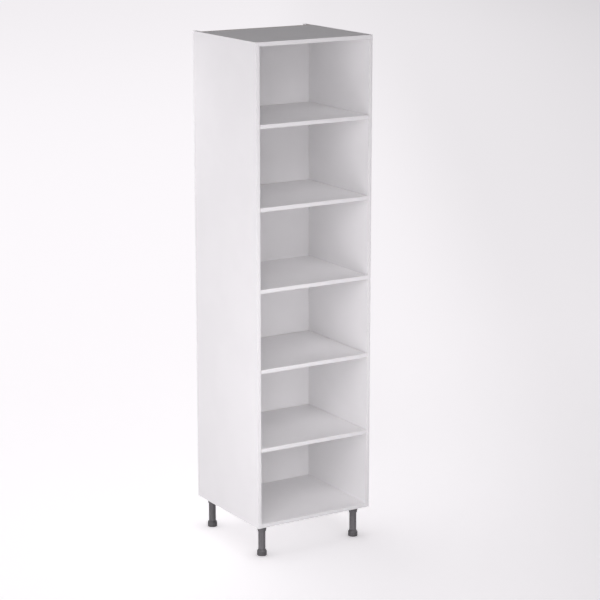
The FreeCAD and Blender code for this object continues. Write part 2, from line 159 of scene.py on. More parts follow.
# Leg sockets, with heights from the underside of the carcass
FLANGE_RADIUS = 38 * MM
FLANGE_THICKNESS = 4 * MM
COLLAR_ROOT = 24 * MM
COLLAR_TIP = 19 * MM
COLLAR_LENGTH = 34 * MM
SOCKET_BORE = 15.1 * MM
SOCKET_HOLE = 1.8 * MM
SOCKET_HOLE_OFFSET = 21 * MM
SOCKET_HOLE_ENDS = (-6 * MM, 2 * MM)
GUSSETS = 4
GUSSET_THICKNESS = 2.5 * MM
GUSSET_ROUNDING = 0.6 * MM
GUSSET_CORNERS = (
    (17.5 * MM, -2 * MM), (34 * MM, -2 * MM), (34 * MM, -4.6 * MM), (18 * MM, -29 * MM))

# Leg tubes, with heights from the floor
TUBE_RADIUS = 16.5 * MM
TUBE_BORE = 13 * MM
TUBE_LOW = 30 * MM
TUBE_SHOULDER = 116 * MM
SPIGOT_RADIUS = 15 * MM
SPIGOT_TOP = 145.5 * MM
NUT_BORE = 10.1 * MM
NUT_TOP = 72 * MM
FLUTES = 12
FLUTE_RADIUS = 2 * MM
FLUTE_DEPTH = 0.8 * MM
FLUTE_LOW = 38 * MM
FLUTE_HIGH = 108 * MM
FLUTE_RUN_OUT = 3 * MM
FLUTE_END_STEPS = 6

# Feet, with heights from the floor
FOOT_RADIUS = 22.5 * MM
FOOT_SHOULDER = 22 * MM
FOOT_NECK = 16.5 * MM
FOOT_TOP = 30 * MM
SOLE_GROOVE = 0.8 * MM
STEM_RADIUS = 10 * MM
STEM_TIP = 8 * MM
STEM_CHAMFER = 88 * MM
STEM_TOP = 90 * MM
STEM_PITCH = 5 * MM
STEM_GROOVE = 1.2 * MM
STEM_THREAD = (31 * MM, 87 * MM)
STEM_RING = 0.5 * MM

# Screws, with heights from the seat of the head; each is turned on from the last, in radians
SCREW_RADIUS = 1.75 * MM
SCREW_POINT = 2.5 * MM
SCREW_NECK = 0.5 * MM
SCREW_PITCH = 1.6 * MM
SCREW_GROOVE = 0.45 * MM
SCREW_THREAD_END = -1 * MM
SCREW_RING = 0.25 * MM
HEAD_RADIUS = 3.5 * MM
HEAD_RIM = 0.9 * MM
HEAD_TOP = 2.4 * MM
DOME_STEPS = 8
RECESS_REACH = 2 * MM
RECESS_HALF_WIDTH = 0.42 * MM
RECESS_ENDS = (1.1 * MM, 3 * MM)
SCREW_TURN = 1.17

# Screws by node: the axis they lie along, the way out along it, and the tilt of the head that way
SCREW_GROUPS = {"leg_screws": (Z, -1, math.pi), "back_screws": (Y, 1, -math.pi / 2)}

# Cam covers, with heights from the board's face; each is turned on from the last, in radians
COVER_RADIUS = 9 * MM
COVER_RIM = 0.7 * MM
COVER_FACE_RADIUS = 8.1 * MM
COVER_THICKNESS = 1.2 * MM
NOTCH_LOW = (8.2 * MM, -1.4 * MM, -0.6 * MM)
NOTCH_HIGH = (10 * MM, 1.4 * MM, 0.5 * MM)
COVER_TURN = 0.9

# Shelf pins, from the side's inner face and the underside of the shelf
PIN_RADIUS = 2.5 * MM
PIN_DEPTH = 10 * MM
PIN_REACH = 8.2 * MM
PIN_DROP = 3 * MM
TONGUE_LENGTH = 9 * MM
TONGUE_HALF_WIDTH = 4 * MM
TONGUE_THICKNESS = 3.5 * MM
TONGUE_NOSE = 3 * MM
TONGUE_ROUNDING = 0.45 * MM

# Studio light
FLOOR_TONE = 0.775
FLOOR_LIT = 0.213
FLOOR_REACH = 80.0
HORIZON_TONE = (0.92, 0.892, 0.92)
AIR_LIGHT = (0.050, 0.049, 0.050)
LAMP_TINT = (1.0, 0.970, 1.0)
# Painted contact shadow in the floor's glow: its reach and its depth, the next two values
PAINTED_SHADOW_REACH = 80 * MM
PAINTED_SHADOW_DEPTH = 0.75
OVERHEAD_LIGHT = 0.70
OVERHEAD_SPREAD = math.radians(60)
OVERHEAD_AIM = Vector((0.20, -0.32, -1.0))

# Floor tone, with painted shade: bands of floor, to the right or away, over which the painted shade
# falls, and how far it falls
MIDDLE_BAND = (-0.6, 0.6)
MIDDLE_FALL = 0.05
NEAR_BAND = (0.0, 4.0)
NEAR_FALL = 0.05
RIGHT_BAND = (0.6, 1.8)
RIGHT_FALL = 0.10
RIGHT_FADE_BAND = (6.0, 25.0)
RIGHT_FADE = 0.8
FAR_RIGHT_BAND = (1.2, 6.0)
FAR_RIGHT_FALL = 0.12
AWAY_BAND = (4.0, 30.0)
AWAY_FALL = 0.10
HORIZON_BAND = (25.0, 75.0)

# Softboxes: place, aim, width, height and watts
SOFTBOXES = {
    "rear_left_softbox": ((-2.6, 2.2, 1.9), (-0.3, 0.1, 1.5), 2.0, 1.8, 22.5),
    "left_edge_softbox": ((-0.7, 0.6, 2.08), (-0.3, 0.28, 2.05), 0.5, 0.5, 0.65),
    "right_softbox": ((3.0, 0.6, 1.1), (0.3, 0.0, 1.1), 2.4, 2.0, 56.0),
    "rear_softbox": ((0.7, 3.2, 1.1), (0.0, 0.3, 1.1), 2.4, 2.0, 46.0),
    "low_left_softbox": ((-3.0, 0.3, 0.7), (-0.3, 0.0, 0.7), 2.4, 0.8, 20.6),
    "low_front_left_softbox": ((-2.2, -2.8, 0.7), (0.0, 0.0, 0.6), 2.0, 0.8, 5.7),
    "near_low_left_softbox": ((-1.3, -1.3, 0.6), (0.25, -0.2, 0.4), 0.8, 0.6, 5.4),
    "near_front_softbox": ((-0.2, -1.7, 0.9), (0.0, 0.0, 0.6), 1.6, 0.8, 7.3),
    "near_top_softbox": ((-1.0, -1.6, 2.2), (0.0, 0.0, 0.9), 1.6, 1.0, 8.5),
    "high_front_softbox": ((-0.8, -2.8, 2.9), (0.0, 0.0, 1.1), 3.2, 1.2, 9.7),
}

# Far lights: degrees round from the front, degrees up, degrees wide, and strength
FAR_LIGHTS = {
    "front_left_glow": (-50, 10, 50, 0.496),
    "front_glow": (-5, 10, 50, 0.108),
    "high_front_left_glow": (-50, 38, 40, 0.108),
    "high_front_glow": (-5, 38, 40, 0.513),
    "top_glow": (0, 88, 60, 0.100),
    "floor_bounce_left": (-95, -28, 50, 0.190),
    "floor_bounce_front_left": (-45, -28, 50, 0.345),
    "floor_bounce_front": (5, -28, 50, 0.145),
}


# Shader maths

class Wire:
    """An output of a node, used in plain arithmetic: each operation adds its Math node."""

    def __init__(self, nodes, socket):
        self.nodes = nodes
        self.socket = socket

    def out(self, name):
        """Another output of the same node."""
        return Wire(self.nodes, self.socket.node.outputs[name])

    def math(self, operation, first, second):
        """A Math node with its two inputs."""
        return self.nodes.add("ShaderNodeMath", {"operation": operation}, {0: first, 1: second})

    def __add__(self, other):
        return self.math("ADD", self, other)

    def __radd__(self, other):
        return self.math("ADD", other, self)

    def __sub__(self, other):
        return self.math("SUBTRACT", self, other)

    def __rsub__(self, other):
        return self.math("SUBTRACT", other, self)

    def __mul__(self, other):
        return self.math("MULTIPLY", self, other)

    def __rmul__(self, other):
        return self.math("MULTIPLY", other, self)

    def __gt__(self, other):
        return self.math("GREATER_THAN", self, other)

    def __lt__(self, other):
        return self.math("LESS_THAN", self, other)

    def __abs__(self):
        return self.math("ABSOLUTE", self, 0.0)

    def at_least(self, other):
        """The larger of the two."""
        return self.math("MAXIMUM", self, other)


class Nodes:
    """The nodes of one material or of the world."""

    def __init__(self, tree):
        self.tree = tree

    def add(self, kind, settings, sockets, output=0):
        """Add a node: its settings first, then the numbers, colours or wires of its inputs."""
        node = self.tree.nodes.new(kind)
        for name, setting in settings.items():
            if name == "stops":
                self.set_stops(node.color_ramp, setting)
            else:
                setattr(node, name, setting)
        for name, given in sockets.items():
            self.give(node.inputs[name], given)
        return Wire(self, node.outputs[output])

    def give(self, socket, given):
        """Link a wire to a socket, or set a number or a colour on it."""
        if isinstance(given, Wire):
            self.tree.links.new(given.socket, socket)
        elif socket.type == "RGBA" and len(given) == 3:
            socket.default_value = (*given, 1.0)
        else:
            socket.default_value = given

    def set_stops(self, ramp, stops):
        """Give a ramp its (place, colour) stops."""
        while len(ramp.elements) < len(stops):
            ramp.elements.new(0.5)
        for element, (place, colour) in zip(ramp.elements, stops):
            element.position = place
            element.color = (*colour, 1.0)

    def place(self, kind="Object"):
        """Where the point is: in the object's own frame, or from 0 to 1 through its box as Generated."""
        return self.add("ShaderNodeTexCoord", {}, {}, kind)

    def facing(self):
        """The direction that the bare surface faces."""
        return self.add("ShaderNodeNewGeometry", {}, {}, "True Normal")

    def split(self, vector):
        """The X, Y and Z of a vector."""
        parts = self.add("ShaderNodeSeparateXYZ", {}, {"Vector": vector})
        return [parts.out(axis) for axis in "XYZ"]

    def noise(self, vector, scale, detail=2.0, roughness=0.5):
        """Noise with so many waves to the metre, the same all ways or given for X, Y and Z."""
        if isinstance(scale, tuple):
            vector = self.add("ShaderNodeVectorMath", {"operation": "MULTIPLY"}, {0: vector, 1: scale})
            scale = 1.0
        return self.add("ShaderNodeTexNoise", {}, {"Vector": vector, "Scale": scale, "Detail": detail,
                                                   "Roughness": roughness})

    def cell_tone(self, vector, scale):
        """A random tone for each cell, with so many cells to the metre."""
        colour = self.add("ShaderNodeTexVoronoi", {}, {"Vector": vector, "Scale": scale}, "Color")
        return self.split(colour)[0]

    def blend(self, share, first, second):
        """A colour that goes from first to second as share goes from 0 to 1."""
        return self.add("ShaderNodeMix", {"data_type": "RGBA"}, {0: share, 6: first, 7: second}, 2)

    def ramp(self, share, stops):
        """A colour that goes through stops as share goes from 0 to 1."""
        return self.add("ShaderNodeValToRGB", {"stops": stops}, {"Fac": share})

    def eased(self, given, low, high):
        """From 0 to 1 as the given value goes from low to high, with soft ends."""
        return self.add("ShaderNodeMapRange", {"interpolation_type": "SMOOTHSTEP"},
                        {"Value": given, "From Min": low, "From Max": high})


class Finish(Nodes):
    """A surface finish: one Principled shader and the nodes that feed it."""

    def __init__(self, name):
        self.material = bpy.data.materials.new(name)
        self.material.use_nodes = True
        super().__init__(self.material.node_tree)
        self.shader = self.tree.nodes["Principled BSDF"]

    def set(self, **inputs):
        """Set inputs of the shader; an underscore stands for a space."""
        for name, given in inputs.items():
            self.give(self.shader.inputs[name.replace("_", " ")], given)

    def relief(self, height, depth):
        """Bump from a height of 0 to 1, where 1 stands depth metres proud."""
        bump = self.add("ShaderNodeBump", {}, {"Height": height, "Distance": depth}, "Normal")
        self.set(Normal=bump)


# Finishes

def raw_chipboard(finish, here, depth):
    """Cut chipboard, as colour and height: coarse chips in its middle and fine dust by its faces."""
    chips = finish.cell_tone(here, CHIPS)
    darkest, lightest = DUST_TONES
    dust = darkest + finish.cell_tone(here, CHIP_DUST) * (lightest - darkest)
    core = finish.eased(depth, *CHIP_CORE)
    tone = chips * core + dust * (1 - core)
    stops = [(0.0, CHIP_DARK), (0.35, CHIP_MIDDLE), (1.0, CHIP_LIGHT)]
    return finish.ramp(tone, stops), tone


def board_finish(name, thin_axis, taped_top=False):
    """White melamine on a board's two broad faces, raw chipboard on its cut edges and drillings."""
    finish = Finish(name)
    here = finish.place()
    through = finish.split(finish.place("Generated"))
    facing = finish.split(finish.facing())
    depth = 0.5 - abs(through[thin_axis] - 0.5)
    faced = (abs(facing[thin_axis]) > SQUARE_ON) * (depth < FACE_SKIN)
    if taped_top:
        faced = faced.at_least((facing[Z] > SQUARE_ON) * (through[Z] > 1 - TOP_SKIN))
    chips, chip_height = raw_chipboard(finish, here, depth)
    cloud = finish.noise(here, BOARD_CLOUDS)
    pearl = finish.noise(here, BOARD_PEARL, detail=1.0)
    white = finish.blend(finish.eased(cloud, *BOARD_TONES), BOARD_SHADE, BOARD_WHITE)
    smoothing = RAW_ROUGHNESS - FACED_ROUGHNESS - pearl * PEARL_ROUGHNESS
    finish.set(Base_Color=finish.blend(faced, chips, white),
               Roughness=RAW_ROUGHNESS - faced * smoothing,
               Specular_IOR_Level=0.07)
    finish.relief(pearl * faced * PEARL_TO_CHIPS + chip_height * (1 - faced), CHIP_RELIEF)
    return finish.material


def edging_finish():
    """Extruded white strip: faint draw lines along it and a glue line where it meets the board."""
    finish = Finish("white_edging_strip")
    here = finish.place()
    draw = finish.noise(here, EDGING_DRAW_LINES)
    cloud = finish.noise(here, EDGING_CLOUDS)
    behind_front = finish.split(here)[Y] - cad_box[0].y
    glue = finish.eased(behind_front, *GLUE_BAND)
    white = finish.blend(cloud, EDGING_SHADE, EDGING_WHITE)
    finish.set(Base_Color=finish.blend(glue, white, GLUE_LINE),
               Roughness=0.34 + draw * 0.12,
               Specular_IOR_Level=0.25)
    finish.relief(draw, EDGING_RELIEF)
    return finish.material


def leg_finish(name, colour):
    """Moulded dark plastic with an eroded grain, and pale scuffs and dust near the floor."""
    finish = Finish(name)
    here = finish.place()
    grain = finish.noise(here, LEG_GRAIN)
    cloud = finish.noise(here, LEG_CLOUDS, detail=3.0)
    rub = finish.noise(here, LEG_RUBS, detail=4.0, roughness=0.65)
    low = 1 - finish.eased(finish.split(here)[Z], *LEG_DUST_BAND)
    worn = finish.eased(rub + low * FLOOR_SCUFF, *SCUFF_ONSET) * SCUFF_STRENGTH
    dark, light = ([part * share for part in colour] for share in (1 - LEG_MOTTLE, 1 + LEG_MOTTLE))
    finish.set(Base_Color=finish.blend(worn, finish.blend(cloud, dark, light), LEG_SCUFF),
               Roughness=0.46 + grain * 0.12 + worn * 0.15,
               Specular_IOR_Level=0.4)
    finish.relief(grain, LEG_RELIEF)
    return finish.material


def metal_finish(name, bright, dull, roughness, patches, relief):
    """Plated or cast metal: dull patches and a fine uneven skin."""
    finish = Finish(name)
    here = finish.place()
    patch = finish.noise(here, patches, detail=4.0, roughness=0.6)
    skin = finish.noise(here, patches * SKIN_TO_PATCHES)
    finish.set(Base_Color=finish.blend(patch, bright, dull),
               Metallic=1.0,
               Roughness=roughness + patch * 0.14)
    finish.relief(skin, relief)
    return finish.material


def cap_finish():
    """Thin moulded white plastic with a slightly satin skin."""
    finish = Finish("cap_plastic")
    here = finish.place()
    cloud = finish.noise(here, CAP_CLOUDS)
    skin = finish.noise(here, CAP_SKIN, detail=1.0)
    finish.set(Base_Color=finish.blend(cloud, CAP_SHADE, CAP_WHITE),
               Roughness=0.34 + skin * 0.10,
               Specular_IOR_Level=0.45)
    finish.relief(skin, CAP_RELIEF)
    return finish.material


def beech_finish():
    """Bare turned beech: fine flecked grain along the dowel, which lies along X."""
    finish = Finish("beech")
    here = finish.place()
    grain = finish.noise(here, BEECH_GRAIN, detail=4.0)
    fleck = finish.noise(here, BEECH_FLECKS, detail=1.0)
    tone = finish.eased(grain + fleck * FLECK_STRENGTH, *BEECH_TONES)
    finish.set(Base_Color=finish.blend(tone, BEECH_LIGHT, BEECH_DARK),
               Roughness=0.62 + grain * 0.10)
    finish.relief(grain, BEECH_RELIEF)
    return finish.material


UPRIGHT_BOARD = board_finish("white_board_upright", X, taped_top=True)
LEVEL_BOARD = board_finish("white_board_level", Z)
BACK_BOARD = board_finish("white_back_board", Y)
EDGING = edging_finish()
LEG_PLASTIC = leg_finish("leg_plastic", LEG_GREY)
FOOT_PLASTIC = leg_finish("foot_plastic", FOOT_GREY)
BRIGHT_STEEL = metal_finish("bright_steel", STEEL_BRIGHT, STEEL_DULL, roughness=0.24,
                            patches=STEEL_PATCHES, relief=STEEL_RELIEF)
ZINC = metal_finish("zinc_casting", ZINC_BRIGHT, ZINC_DULL, roughness=0.40,
                    patches=ZINC_PATCHES, relief=ZINC_RELIEF)
CAP_PLASTIC = cap_finish()
BEECH = beech_finish()


# Mesh helpers

def rounded(corners):
    """An outline of (radius, height, rounding) corners, each rounded by a short curve."""
    points = []
    for index, (radius, height, rounding) in enumerate(corners):
        corner = Vector((radius, height))
        if not rounding:
            points.append(corner)
            continue
        before = Vector(corners[index - 1][:2])
        after = Vector(corners[(index + 1) % len(corners)][:2])
        start = corner + (before - corner).normalized() * rounding
        end = corner + (after - corner).normalized() * rounding
        for step in range(ROUNDING_STEPS + 1):
            along = step / ROUNDING_STEPS
            points.append(start * (1 - along) ** 2 + corner * 2 * along * (1 - along) + end * along ** 2)
    return points


def turned(outline, steps, shape=None):
    """Turn an outline about the upright axis; shape(radius, angle, height) may change a radius."""
    mesh = bmesh.new()
    rings = []
    for radius, height in outline:
        if radius < SAME_POINT:
            rings.append([mesh.verts.new((0, 0, height))])
            continue
        ring = []
        for step in range(steps):
            angle = 2 * math.pi * step / steps
            reach = shape(radius, angle, height) if shape else radius
            ring.append(mesh.verts.new((reach * math.cos(angle), reach * math.sin(angle), height)))
        rings.append(ring)
    closed = len(rings[0]) > 1
    for index in range(len(rings) if closed else len(rings) - 1):
        lower, upper = rings[index], rings[(index + 1) % len(rings)]
        for step in range(steps):
            after = (step + 1) % steps
            corners = [lower[step % len(lower)], lower[after % len(lower)],
                       upper[after % len(upper)], upper[step % len(upper)]]
            mesh.faces.new(list(dict.fromkeys(corners)))
    bmesh.ops.recalc_face_normals(mesh, faces=mesh.faces)
    return mesh


def threaded(pitch, depth, low, high, core):
    """A shape for turned(): a right-hand screw groove between two heights of the core."""
    def shape(radius, angle, height):
        if radius > core + HAIR or not low < height < high:
            return radius
        turn = (height / pitch - angle / (2 * math.pi)) % 1
        groove = max(0.0, 1 - abs(turn - 0.5) / GROOVE_SHARE)
        run_out = min(1.0, (height - low) / pitch, (high - height) / pitch)
        return radius - depth * groove * run_out
    return shape


def slab(low, high):
    """A block between two corners."""
    mesh = bmesh.new()
    bmesh.ops.create_cube(mesh, size=1.0)
    for vert in mesh.verts:
        vert.co = Vector(low[axis] if vert.co[axis] < 0 else high[axis] for axis in range(3))
    return mesh


def span(edge, axis):
    """How far an edge runs along an axis."""
    first, second = edge.verts
    return abs(first.co[axis] - second.co[axis])


def soften(mesh, chosen, rounding, segments=3):
    """Round the edges of a mesh that a test chooses."""
    edges = [edge for edge in mesh.edges if chosen(edge)]
    bmesh.ops.bevel(mesh, geom=edges, offset=rounding, segments=segments, profile=0.5, affect="EDGES")


def plain_mesh(name, built):
    """A mesh from a bmesh, which is freed."""
    mesh = bpy.data.meshes.new(name)
    built.to_mesh(mesh)
    built.free()
    return mesh


def carved(name, base, tools):
    """A mesh joined with or cut by others; tools are (operation, bmesh) pairs."""
    thing = bpy.data.objects.new(name, plain_mesh(name, base))
    bpy.context.scene.collection.objects.link(thing)
    cutters = []
    for operation, built in tools:
        cutter = bpy.data.objects.new(f"{name}_tool", plain_mesh(f"{name}_tool", built))
        bpy.context.scene.collection.objects.link(cutter)
        step = thing.modifiers.new("carve", "BOOLEAN")
        step.operation = operation
        step.solver = "EXACT"
        step.object = cutter
        cutters.append(cutter)
    evaluated = thing.evaluated_get(bpy.context.evaluated_depsgraph_get())
    mesh = bpy.data.meshes.new_from_object(evaluated)
    for spent in [thing, *cutters]:
        bpy.data.objects.remove(spent)
    return mesh


def gathered(name, copies):
    """Several placed copies as one mesh; copies are (mesh, matrix) pairs."""
    whole = bmesh.new()
    for mesh, matrix in copies:
        part = bmesh.new()
        part.from_mesh(mesh)
        part.transform(matrix)
        copy = plain_mesh("copy", part)
        whole.from_mesh(copy)
        bpy.data.meshes.remove(copy)
    return plain_mesh(name, whole)


def add_piece(name, mesh, material, body, node):
    """Show a mesh as a piece that rides on a body and stands for a CAD node."""
    mesh.shade_smooth()
    mesh.set_sharp_from_angle(angle=CREASE)
    mesh.materials.clear()
    mesh.materials.append(material)
    thing = bpy.data.objects.new(name, mesh)
    bpy.context.scene.collection.objects.link(thing)
    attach(thing, body)
    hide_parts(node)


def solids(node):
    """The lowest and highest corners of each separate solid of a CAD node."""
    mesh = bmesh.new()
    mesh.from_mesh(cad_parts[node].data)
    bmesh.ops.remove_doubles(mesh, verts=mesh.verts, dist=SAME_POINT)
    left = set(mesh.verts)
    boxes = []
    while left:
        reached = [left.pop()]
        island = []
        while reached:
            vert = reached.pop()
            island.append(vert.co.copy())
            for edge in vert.link_edges:
                other = edge.other_vert(vert)
                if other in left:
                    left.remove(other)
                    reached.append(other)
        low = Vector(min(point[axis] for point in island) for axis in range(3))
        high = Vector(max(point[axis] for point in island) for axis in range(3))
        boxes.append((low, high))
    mesh.free()
    return sorted(boxes, key=lambda box: tuple(round(part, 5) for part in box[0]))


# Boards

def finish_node(node, material):
    """Give a CAD node that stays in view its finish."""
    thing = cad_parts[node]
    thing.data.materials.clear()
    thing.data.materials.append(material)


def finish_boards():
    """Finish the boards, and the fittings inside them that keep their CAD shape."""
    for side in ("left", "right"):
        finish_node(f"{side}_side_panel", UPRIGHT_BOARD)
    for board in ("top_panel", "bottom_panel", "fixed_shelf", *[f"shelf_{number}" for number in SHELVES]):
        finish_node(board, LEVEL_BOARD)
    finish_node("back_panel", BACK_BOARD)
    finish_node("cam_bolts", BRIGHT_STEEL)
    finish_node("cam_discs", ZINC)
    finish_node("dowels", BEECH)


# Edging strips

def strip_mesh(low, high):
    """A strip with its two long front arrises scraped round."""
    run = max(range(3), key=lambda axis: high[axis] - low[axis])
    middle = (low.y + high.y) / 2

    def front_arris(edge):
        return max(vert.co.y for vert in edge.verts) < middle and span(edge, run) > LONG_EDGE

    strip = slab(low, high)
    soften(strip, front_arris, EDGING_ROUNDING, segments=4)
    return strip


def add_edging():
    """A strip on the front edge of each board."""
    boards = dict.fromkeys(("left_side", "right_side", "top", "bottom", "fixed_shelf"), "carcass")
    boards.update({f"shelf_{number}": f"shelf_{number}" for number in SHELVES})
    for board, body in boards.items():
        node = f"{board}_edging"
        mesh = plain_mesh(node, strip_mesh(*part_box(node)))
        add_piece(f"{board}_edging_strip", mesh, EDGING, body, node)


# Legs

def leg_axis(leg):
    """The point on a leg's axis at floor level."""
    low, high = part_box(f"{leg}_leg_tube")
    return Vector(((low.x + high.x) / 2, (low.y + high.y) / 2, 0.0))


def gusset_mesh():
    """An upright web between flange and collar, with its free edges softened."""
    web = bmesh.new()
    side = -GUSSET_THICKNESS / 2
    corners = [web.verts.new((radius, side, height)) for radius, height in GUSSET_CORNERS]
    grown = bmesh.ops.extrude_face_region(web, geom=[web.faces.new(corners)])
    moved = [item for item in grown["geom"] if isinstance(item, bmesh.types.BMVert)]
    bmesh.ops.translate(web, verts=moved, vec=(0, GUSSET_THICKNESS, 0))
    bmesh.ops.recalc_face_normals(web, faces=web.faces)

    def free(edge):
        return all(vert.co.z < -FLANGE_THICKNESS for vert in edge.verts) and span(edge, Y) < SLIGHT

    soften(web, free, GUSSET_ROUNDING)
    return web


def socket_mesh():
    """Flange and tapered collar with four gussets and four screw holes, hanging from the underside."""
    base = turned(rounded([
        (0.0, -FLANGE_THICKNESS, 0.0), (SOCKET_BORE, -FLANGE_THICKNESS, 0.0),
        (SOCKET_BORE, -COLLAR_LENGTH, 0.6 * MM), (COLLAR_TIP, -COLLAR_LENGTH, 1.2 * MM),
        (COLLAR_ROOT, -FLANGE_THICKNESS, 2.5 * MM), (FLANGE_RADIUS, -FLANGE_THICKNESS, 1.0 * MM),
        (FLANGE_RADIUS, 0.0, 0.4 * MM), (0.0, 0.0, 0.0)]), steps=96)
    tools = []
    for gusset in range(GUSSETS):
        web = gusset_mesh()
        web.transform(Matrix.Rotation(2 * math.pi / GUSSETS * gusset, 4, "Z"))
        tools.append(("UNION", web))
    low, high = SOCKET_HOLE_ENDS
    for across in (-SOCKET_HOLE_OFFSET, SOCKET_HOLE_OFFSET):
        for along in (-SOCKET_HOLE_OFFSET, SOCKET_HOLE_OFFSET):
            drill = turned([(0.0, low), (SOCKET_HOLE, low), (SOCKET_HOLE, high), (0.0, high)], steps=24)
            drill.transform(Matrix.Translation((across, along, 0.0)))
            tools.append(("DIFFERENCE", drill))
    return carved("leg_socket_form", base, tools)


def fluted(radius, angle, height):
    """A shape for turned(): shallow rounded flutes down the tube's outer wall, run out at their ends."""
    if radius < TUBE_RADIUS - HAIR or not FLUTE_LOW < height < FLUTE_HIGH:
        return radius
    turn = (angle * FLUTES / (2 * math.pi) + 0.5) % 1 - 0.5
    across = turn * 2 * math.pi / FLUTES
    fade = min(1.0, (height - FLUTE_LOW) / FLUTE_RUN_OUT, (FLUTE_HIGH - height) / FLUTE_RUN_OUT)
    centre = TUBE_RADIUS + FLUTE_RADIUS - FLUTE_DEPTH * math.sin(fade * math.pi / 2)
    offset = centre * math.sin(across)
    if abs(offset) >= FLUTE_RADIUS:
        return radius
    return min(radius, centre * math.cos(across) - math.sqrt(FLUTE_RADIUS ** 2 - offset ** 2))


def tube_mesh():
    """Hollow fluted tube with a spigot at its top and a nut at its foot end."""
    ends = [FLUTE_RUN_OUT * step / FLUTE_END_STEPS for step in range(FLUTE_END_STEPS + 1)]
    heights = [FLUTE_LOW + end for end in ends] + [FLUTE_HIGH - end for end in reversed(ends)]
    outline = rounded([
        (NUT_BORE, TUBE_LOW, 0.6 * MM), (TUBE_RADIUS, TUBE_LOW, 0.8 * MM),
        *[(TUBE_RADIUS, height, 0.0) for height in heights],
        (TUBE_RADIUS, TUBE_SHOULDER, 0.7 * MM), (SPIGOT_RADIUS, TUBE_SHOULDER, 0.0),
        (SPIGOT_RADIUS, SPIGOT_TOP, 0.6 * MM), (TUBE_BORE, SPIGOT_TOP, 0.3 * MM),
        (TUBE_BORE, NUT_TOP, 0.0), (NUT_BORE, NUT_TOP, 0.5 * MM)])
    return plain_mesh("leg_tube_form", turned(outline, steps=240, shape=fluted))


def foot_mesh():
    """Round foot with a softened rim and shoulder, a grooved sole and a threaded stem."""
    low, high = STEM_THREAD
    rings = round((high - low) / STEM_RING) + 1
    sole = [(0.0, SOLE_GROOVE, 0.0), (8 * MM, SOLE_GROOVE, 0.4 * MM), (8.8 * MM, 0.0, 0.3 * MM),
            (14 * MM, 0.0, 0.3 * MM), (14.6 * MM, SOLE_GROOVE, 0.3 * MM),
            (16.4 * MM, SOLE_GROOVE, 0.3 * MM), (17 * MM, 0.0, 0.3 * MM)]
    outline = rounded([
        *sole, (FOOT_RADIUS, 0.0, 1.6 * MM), (FOOT_RADIUS, FOOT_SHOULDER, 4.0 * MM),
        (FOOT_NECK, FOOT_TOP, 0.8 * MM), (STEM_RADIUS, FOOT_TOP, 0.5 * MM),
        *[(STEM_RADIUS, low + ring * STEM_RING, 0.0) for ring in range(rings)],
        (STEM_RADIUS, STEM_CHAMFER, 0.3 * MM), (STEM_TIP, STEM_TOP, 0.4 * MM), (0.0, STEM_TOP, 0.0)])
    thread = threaded(STEM_PITCH, STEM_GROOVE, low, high, STEM_RADIUS)
    return plain_mesh("foot_form", turned(outline, steps=72, shape=thread))


def add_legs():
    """A socket, a tube and a foot for each leg."""
    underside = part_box("bottom_panel")[0].z
    forms = {
        "leg_socket": (socket_mesh(), LEG_PLASTIC, underside, "carcass"),
        "leg_tube": (tube_mesh(), LEG_PLASTIC, 0.0, "{}_tube"),
        "foot": (foot_mesh(), FOOT_PLASTIC, 0.0, "{}_foot"),
    }
    for leg in LEGS:
        for part, (form, material, height, body) in forms.items():
            place = Matrix.Translation(leg_axis(leg) + Vector((0, 0, height)))
            mesh = gathered(f"{leg}_{part}_form", [(form, place)])
            add_piece(f"{leg}_{part}_moulding", mesh, material, body.format(leg),
                      f"{leg}_{part}")


# Small fittings

def screw_mesh(length):
    """A pan-head wood screw, head upwards from its seat at height 0, with a cross recess."""
    rings = int((length - SCREW_POINT - SCREW_NECK) / SCREW_RING)
    dome = []
    for step in range(DOME_STEPS):
        rise = math.pi / 2 * step / DOME_STEPS
        height = HEAD_RIM + (HEAD_TOP - HEAD_RIM) * math.sin(rise)
        dome.append((HEAD_RADIUS * math.cos(rise), height, 0.0))
    outline = rounded([
        (0.0, -length, 0.0),
        *[(SCREW_RADIUS, -length + SCREW_POINT + ring * SCREW_RING, 0.0) for ring in range(rings)],
        (SCREW_RADIUS, 0.0, 0.0), (HEAD_RADIUS, 0.0, 0.25 * MM), *dome, (0.0, HEAD_TOP, 0.0)])
    thread = threaded(SCREW_PITCH, SCREW_GROOVE, -length, SCREW_THREAD_END, SCREW_RADIUS)
    low, high = RECESS_ENDS
    slots = []
    for along, across in ((RECESS_REACH, RECESS_HALF_WIDTH), (RECESS_HALF_WIDTH, RECESS_REACH)):
        slots.append(("DIFFERENCE", slab((-along, -across, low), (along, across, high))))
    return carved("screw_form", turned(outline, steps=32, shape=thread), slots)


def add_screws():
    """Screws where the CAD has them, each left at another turn."""
    for node, (axis, outward, tilt) in SCREW_GROUPS.items():
        boxes = solids(node)
        low, high = boxes[0]
        form = screw_mesh(high[axis] - low[axis] - HEAD_TOP)
        placed = []
        for index, (low, high) in enumerate(boxes):
            seat = (low + high) / 2
            seat[axis] = high[axis] - HEAD_TOP if outward > 0 else low[axis] + HEAD_TOP
            turn = Matrix.Rotation(SCREW_TURN * index, 4, "Z")
            placed.append((form, Matrix.Translation(seat) @ Matrix.Rotation(tilt, 4, "X") @ turn))
        add_piece(f"{node}_driven", gathered(node, placed), BRIGHT_STEEL, "carcass", node)


